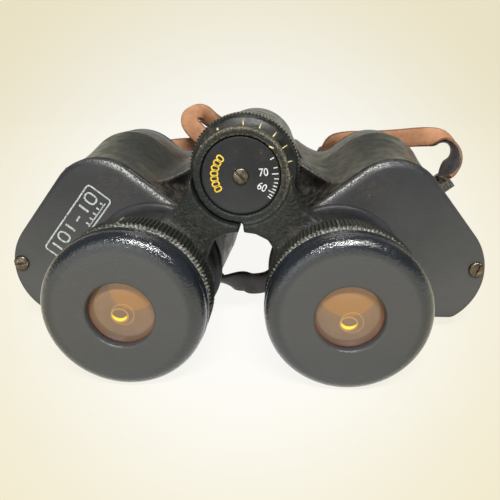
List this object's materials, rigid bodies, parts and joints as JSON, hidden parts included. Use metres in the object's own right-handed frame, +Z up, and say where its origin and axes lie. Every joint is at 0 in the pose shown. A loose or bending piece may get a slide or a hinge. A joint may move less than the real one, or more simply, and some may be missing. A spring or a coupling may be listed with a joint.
{
  "type": "binoculars",
  "caption": "Folding prism binoculars with stepped housings on a central hinge, a knurled focus wheel that slides the eyepiece bridge, and a leather neck strap",
  "frame": {"origin": "on the surface the binoculars stand on, under the middle of the body without its strap", "axes": "+X to the user's right, +Y along the optical axes from the eyecups to the objectives, +Z up from the standing surface through the hinge"},
  "size_m": [0.1533, 0.2075, 0.0627],
  "materials": {
    "casting_paint": "satin black paint over a light-alloy casting, fine orange-peel, worn on the edges",
    "cover_paint": "semi-gloss black paint with faint grain, rubbed bright on the ridges",
    "black_metal": "semi-matt black paint",
    "wheel_paint": "black paint, dusty in the knurls, yellow tick marks",
    "knurl_paint": "black paint worn on the knurl tops",
    "bakelite": "black moulded phenolic with a fine grain and a polished shoulder",
    "disc_enamel": "black enamel with white and yellow markings",
    "worn_screw": "aged, scratched slotted screws with dark slots",
    "steel": "plain turned steel",
    "objective_glass": "clear lens with a blue-violet coating",
    "amber_glass": "lens that shows amber against the inside of the tube",
    "prism_glass": "ground sides and polished faces",
    "strap_leather": "tan suede inside and black grained outside, rubbed brown on the edges"
  },
  "bodies": {
    "left_half": {"left_housing": "casting_paint", "left_rear_cover": "cover_paint", "left_front_cover": "cover_paint", "left_cover_screw": "worn_screw", "left_strap_lug": "black_metal", "left_prism_a": "prism_glass", "left_prism_b": "prism_glass", "left_objective_tube": "black_metal", "left_objective_ring": "black_metal", "left_objective_lens": "objective_glass", "hinge_axle": "steel", "hinge_cap": "black_metal", "strap_mid": "strap_leather", "strap_coil": "strap_leather", "strap_front": "strap_leather", "strap_under": "strap_leather", "strap_left": "strap_leather"},
    "right_half": {"right_housing": "casting_paint", "right_rear_cover": "cover_paint", "right_front_cover": "cover_paint", "right_cover_screw": "worn_screw", "right_strap_lug": "black_metal", "right_prism_a": "prism_glass", "right_prism_b": "prism_glass", "right_objective_tube": "black_metal", "right_objective_ring": "black_metal", "right_objective_lens": "objective_glass", "strap_right": "strap_leather"},
    "focus_knob": {"focus_wheel": "wheel_paint"},
    "left_bridge": {"focus_spindle": "steel", "left_bridge_arm": "casting_paint", "scale_disc": "disc_enamel", "disc_screw": "worn_screw", "left_eyepiece_barrel": "black_metal", "left_ocular_sleeve": "steel", "left_ocular_cell": "black_metal", "left_knurled_ring": "knurl_paint", "left_eyecup": "bakelite", "left_eye_lens": "amber_glass", "left_field_lens": "amber_glass"},
    "right_bridge": {"right_bridge_arm": "casting_paint", "right_eyepiece_barrel": "black_metal"},
    "dioptre_thread": {"right_ocular_sleeve": "steel"},
    "right_ocular": {"right_ocular_cell": "black_metal", "right_knurled_ring": "knurl_paint", "right_eyecup": "bakelite", "right_eye_lens": "amber_glass", "right_field_lens": "amber_glass"}
  },
  "joints": [
    {"name": "hinge_fold", "type": "hinge", "parent": "left_half", "child": "right_half", "pos_m": [0, 0, 0.04686], "axis": [0, -1, 0], "range_deg": [0, 78]},
    {"name": "focus_turn", "type": "hinge", "parent": "left_half", "child": "focus_knob", "pos_m": [0, -0.022, 0.04686], "axis": [0, 1, 0], "range_deg": [-288.2, 72.2]},
    {"name": "left_bridge_slide", "type": "slide", "parent": "left_half", "child": "left_bridge", "axis": [0, 1, 0], "range_m": [-0.0048, 0.0012]},
    {"name": "right_bridge_slide", "type": "slide", "parent": "right_half", "child": "right_bridge", "axis": [0, 1, 0], "range_m": [-0.0048, 0.0012]},
    {"name": "dioptre_travel", "type": "slide", "parent": "right_bridge", "child": "dioptre_thread", "axis": [0, 1, 0], "range_m": [-0.0011, 0.0011]},
    {"name": "dioptre_turn", "type": "hinge", "parent": "dioptre_thread", "child": "right_ocular", "pos_m": [0.02525, -0.044, 0.01927], "axis": [0, 1, 0], "range_deg": [-75.2, 75.2]}
  ],
  "couplings": [
    {"joint": "focus_turn", "follows": "left_bridge_slide", "rad_per_m": 1047.2},
    {"joint": "right_bridge_slide", "follows": "left_bridge_slide", "ratio": 1},
    {"joint": "dioptre_turn", "follows": "dioptre_travel", "rad_per_m": 1190.5}
  ]
}
